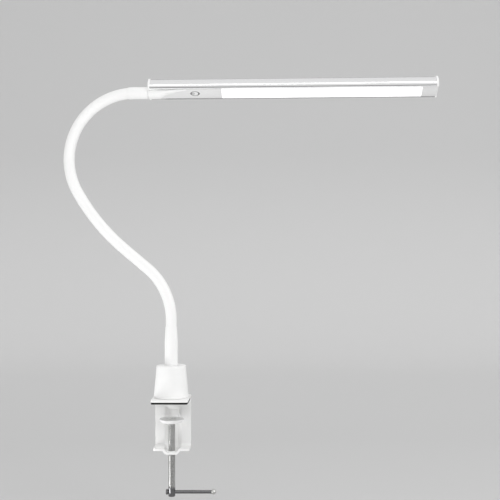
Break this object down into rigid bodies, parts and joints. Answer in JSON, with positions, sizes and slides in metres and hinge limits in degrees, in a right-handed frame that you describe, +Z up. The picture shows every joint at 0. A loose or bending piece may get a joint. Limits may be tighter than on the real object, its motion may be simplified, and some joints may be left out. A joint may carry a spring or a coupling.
{
  "type": "gooseneck clamp lamp",
  "caption": "Slim LED desk lamp: a straight light head on a bendable gooseneck, held to a table edge by a screw clamp with a tommy bar.",
  "frame": {"origin": "centre of the rubber pad's underside, the face that lies on the table top", "axes": "+Z up, +Y away from the user towards the clamp's back plate, +X to the right, along the light head"},
  "size_m": [0.5126, 0.063, 0.5765],
  "materials": {
    "bracket_enamel": "satin off-white powder coat",
    "white_enamel": "smooth white powder coat",
    "pad_rubber": "matt black",
    "white_soft": "smooth soft white sleeve",
    "white_plastic": "smooth white moulding",
    "grey_plastic": "fine satin silver-grey",
    "satin_aluminium": "satin anodised, drawn lengthways",
    "opal_diffuser": "opal acrylic, lit",
    "zinc_steel": "zinc plated",
    "screw_steel": "zinc plated thread",
    "core_steel": "plain wound steel",
    "dark_chrome": "dark bright plated",
    "board": "white solder mask",
    "led_yellow": "phosphor"
  },
  "bodies": {
    "clamp": {"clamp_bracket": "bracket_enamel", "jaw_pad": "pad_rubber", "base_cup": "white_enamel", "cup_screws": "zinc_steel", "cord_grommet": "white_plastic", "neck_washer": "zinc_steel", "neck_nut": "zinc_steel", "neck_core_foot": "core_steel", "neck_boot": "white_soft", "neck_sleeve": "white_soft", "neck_lead": "white_soft"},
    "neck_01": {"neck_core_01": "core_steel"},
    "neck_02": {"neck_core_02": "core_steel"},
    "neck_03": {"neck_core_03": "core_steel"},
    "neck_04": {"neck_core_04": "core_steel"},
    "neck_05": {"neck_core_05": "core_steel"},
    "neck_06": {"neck_core_06": "core_steel"},
    "neck_07": {"neck_core_07": "core_steel"},
    "neck_08": {"neck_core_08": "core_steel"},
    "neck_09": {"neck_core_09": "core_steel"},
    "neck_10": {"neck_core_10": "core_steel"},
    "neck_11": {"neck_core_11": "core_steel"},
    "neck_tip": {"neck_core_tip": "core_steel", "spigot_clip": "zinc_steel", "neck_ferrule": "white_soft"},
    "head": {"neck_adaptor": "white_plastic", "adaptor_screws": "zinc_steel", "head_profile": "satin_aluminium", "end_cap_left": "white_plastic", "end_cap_right": "white_plastic", "touch_cover": "grey_plastic", "touch_board": "board", "diffuser": "opal_diffuser", "led_board": "board", "led_chips": "led_yellow", "end_panel": "grey_plastic", "driver_board": "board"},
    "pressure_disc": {"pressure_disc": "white_enamel"},
    "clamp_screw": {"clamp_screw": "screw_steel"},
    "tommy_bar": {"tommy_bar": "dark_chrome", "bar_cap": "dark_chrome"}
  },
  "joints": [
    {"name": "low_bend", "type": "hinge", "parent": "clamp", "child": "neck_01", "pos_m": [-0.00009, 0, 0.1155], "axis": [0.0436, 0.999, 0], "range_deg": [-14, 20], "deforming": ["neck_sleeve", "neck_lead"]},
    {"name": "low_sway", "type": "hinge", "parent": "neck_01", "child": "neck_02", "pos_m": [-0.00853, 0.00037, 0.15032], "axis": [-0.9068, 0.0396, -0.4197], "range_deg": [-14, 14], "deforming": ["neck_sleeve", "neck_lead"]},
    {"name": "low_bend_2", "type": "hinge", "parent": "neck_02", "child": "neck_03", "pos_m": [-0.02957, 0.00129, 0.17932], "axis": [0.0436, 0.999, 0], "range_deg": [-14.5, 20.5], "deforming": ["neck_sleeve", "neck_lead"]},
    {"name": "middle_bend", "type": "hinge", "parent": "neck_03", "child": "neck_04", "pos_m": [-0.05709, 0.00249, 0.20258], "axis": [0.0436, 0.999, 0], "range_deg": [-10, 10], "deforming": ["neck_sleeve", "neck_lead"]},
    {"name": "low_sway_2", "type": "hinge", "parent": "neck_04", "child": "neck_05", "pos_m": [-0.08392, 0.00366, 0.22663], "axis": [-0.7087, 0.0309, -0.7048], "range_deg": [-14.5, 14.5], "deforming": ["neck_sleeve", "neck_lead"]},
    {"name": "middle_bend_2", "type": "hinge", "parent": "neck_05", "child": "neck_06", "pos_m": [-0.10761, 0.0047, 0.25376], "axis": [0.0436, 0.999, 0], "range_deg": [-10.5, 10.5], "deforming": ["neck_sleeve", "neck_lead"]},
    {"name": "crown_bend", "type": "hinge", "parent": "neck_06", "child": "neck_07", "pos_m": [-0.12765, 0.00557, 0.2837], "axis": [0.0436, 0.999, 0], "range_deg": [-18, 6], "deforming": ["neck_sleeve", "neck_lead"]},
    {"name": "crown_sway", "type": "hinge", "parent": "neck_07", "child": "neck_08", "pos_m": [-0.14052, 0.00614, 0.31715], "axis": [-0.9842, 0.043, -0.1717], "range_deg": [-14, 14], "deforming": ["neck_sleeve", "neck_lead"]},
    {"name": "crown_bend_2", "type": "hinge", "parent": "neck_08", "child": "neck_09", "pos_m": [-0.1396, 0.0061, 0.35297], "axis": [0.0436, 0.999, 0], "range_deg": [-18.5, 6.5], "deforming": ["neck_sleeve", "neck_lead"]},
    {"name": "crown_bend_3", "type": "hinge", "parent": "neck_09", "child": "neck_10", "pos_m": [-0.12495, 0.00546, 0.38566], "axis": [0.0436, 0.999, 0], "range_deg": [-18.5, 6.5], "deforming": ["neck_sleeve", "neck_lead"]},
    {"name": "crown_sway_2", "type": "hinge", "parent": "neck_10", "child": "neck_11", "pos_m": [-0.09882, 0.00431, 0.41015], "axis": [-0.526, 0.023, 0.8501], "range_deg": [-14.5, 14.5], "deforming": ["neck_sleeve", "neck_lead"]},
    {"name": "crown_bend_4", "type": "hinge", "parent": "neck_11", "child": "neck_tip", "pos_m": [-0.06528, 0.00285, 0.42265], "axis": [0.0436, 0.999, 0], "range_deg": [-18.5, 6.5], "deforming": ["neck_sleeve", "neck_lead"]},
    {"name": "head_twist", "type": "hinge", "parent": "neck_tip", "child": "head", "pos_m": [-0.03137, 0.00137, 0.42378], "axis": [0.999, -0.0436, 0], "range_deg": [-60, 90], "deforming": ["neck_lead"]},
    {"name": "disc_slide", "type": "slide", "parent": "clamp", "child": "pressure_disc", "axis": [0, 0, 1], "range_m": [-0.033, 0.024]},
    {"name": "screw_turn", "type": "hinge", "parent": "pressure_disc", "child": "clamp_screw", "pos_m": [0, 0.007, -0.0304], "axis": [0, 0, 1], "range_deg": [-7936, 5776]},
    {"name": "bar_slide", "type": "slide", "parent": "clamp_screw", "child": "tommy_bar", "axis": [1, 0, 0], "range_m": [-0.0503, 0]}
  ],
  "couplings": [
    {"joint": "low_bend_2", "follows": "low_bend", "ratio": 1},
    {"joint": "low_sway_2", "follows": "low_sway", "ratio": 1},
    {"joint": "middle_bend_2", "follows": "middle_bend", "ratio": 1},
    {"joint": "crown_bend_2", "follows": "crown_bend", "ratio": 1},
    {"joint": "crown_bend_3", "follows": "crown_bend", "ratio": 1},
    {"joint": "crown_sway_2", "follows": "crown_sway", "ratio": 1},
    {"joint": "crown_bend_4", "follows": "crown_bend", "ratio": 1},
    {"joint": "screw_turn", "follows": "disc_slide", "rad_per_m": 4188.8}
  ]
}
